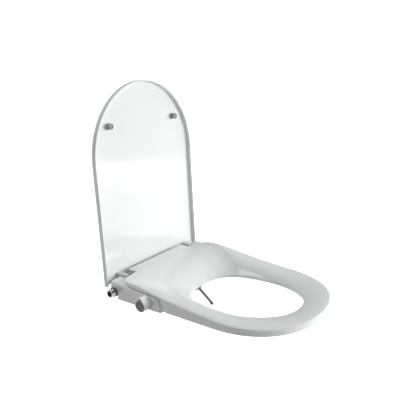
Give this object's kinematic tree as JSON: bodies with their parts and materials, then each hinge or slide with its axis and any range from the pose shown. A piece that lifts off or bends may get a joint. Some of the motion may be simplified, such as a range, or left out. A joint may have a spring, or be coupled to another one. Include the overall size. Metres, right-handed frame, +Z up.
{
  "type": "bidet seat",
  "caption": "Slim U-shaped toilet seat and lid on a hinged base with a side control knob, side water inlet and sliding wash nozzles.",
  "frame": {"origin": "on the underside of the mounting bracket, which lies on the toilet bowl, midway between the two bowl-bolt slots", "axes": "+Z up, -Y towards the seat's nose, -X towards the control knob, which is at the sitting user's right hand"},
  "size_m": [0.396, 0.5279, 0.5637],
  "materials": {
    "white": "high gloss, cool white",
    "light_grey": "satin",
    "dark_grey": "satin",
    "black": "satin",
    "rubber": "matt",
    "hose": "satin",
    "steel": "satin"
  },
  "bodies": {
    "base": {"control_side_cover": "white", "plain_side_cover": "white", "centre_cover": "white", "base_plate": "light_grey", "mounting_bracket": "steel", "side_plate_right": "light_grey", "side_plate_left": "light_grey", "side_screw_1_right": "steel", "side_screw_1_left": "steel", "side_screw_2_right": "steel", "side_screw_2_left": "steel", "base_screw_1": "steel", "base_screw_2": "steel", "base_screw_3": "steel", "base_screw_4": "steel", "hinge_pin_right": "steel", "hinge_pin_left": "steel", "inlet_connector": "steel", "inlet_nut": "black", "filter_screen": "steel", "valve_body": "dark_grey", "inlet_hose": "hose", "front_wash_hose": "hose", "rear_wash_hose": "hose", "nozzle_housing": "dark_grey", "nozzle_guard": "light_grey"},
    "seat": {"seat_ring": "white", "seat_damper_right": "dark_grey", "seat_damper_left": "dark_grey", "seat_pad_1": "rubber", "seat_pad_2": "rubber", "seat_pad_3": "rubber", "seat_pad_4": "rubber"},
    "lid": {"lid": "white", "lid_bumper_right": "rubber", "lid_bumper_left": "rubber", "lid_arm_right": "light_grey", "lid_arm_left": "light_grey", "lid_damper_right": "dark_grey", "lid_damper_left": "dark_grey"},
    "knob": {"knob": "light_grey", "knob_cap": "dark_grey", "knob_spindle": "steel"},
    "front_nozzle": {"front_nozzle": "steel", "front_nozzle_tip": "dark_grey"},
    "rear_nozzle": {"rear_nozzle": "steel", "rear_nozzle_tip": "dark_grey"}
  },
  "joints": [
    {"name": "lid_close", "type": "hinge", "parent": "base", "child": "lid", "pos_m": [0, 0.014, 0.038], "axis": [1, 0, 0], "range_deg": [0, 96.5]},
    {"name": "seat_lift", "type": "hinge", "parent": "base", "child": "seat", "pos_m": [0, 0.014, 0.038], "axis": [1, 0, 0], "range_deg": [-96.5, 0]},
    {"name": "knob_turn", "type": "hinge", "parent": "base", "child": "knob", "pos_m": [-0.2, -0.0968, 0.0172], "axis": [-1, 0, 0], "range_deg": [-90, 90]},
    {"name": "front_nozzle_slide", "type": "slide", "parent": "base", "child": "front_nozzle", "axis": [0, -0.7923, -0.6101], "range_m": [-0.032, 0]},
    {"name": "rear_nozzle_slide", "type": "slide", "parent": "base", "child": "rear_nozzle", "axis": [0, -0.7923, -0.6101], "range_m": [0, 0.032], "stiffness_N_per_m": 40, "springref_m": -0.02}
  ]
}
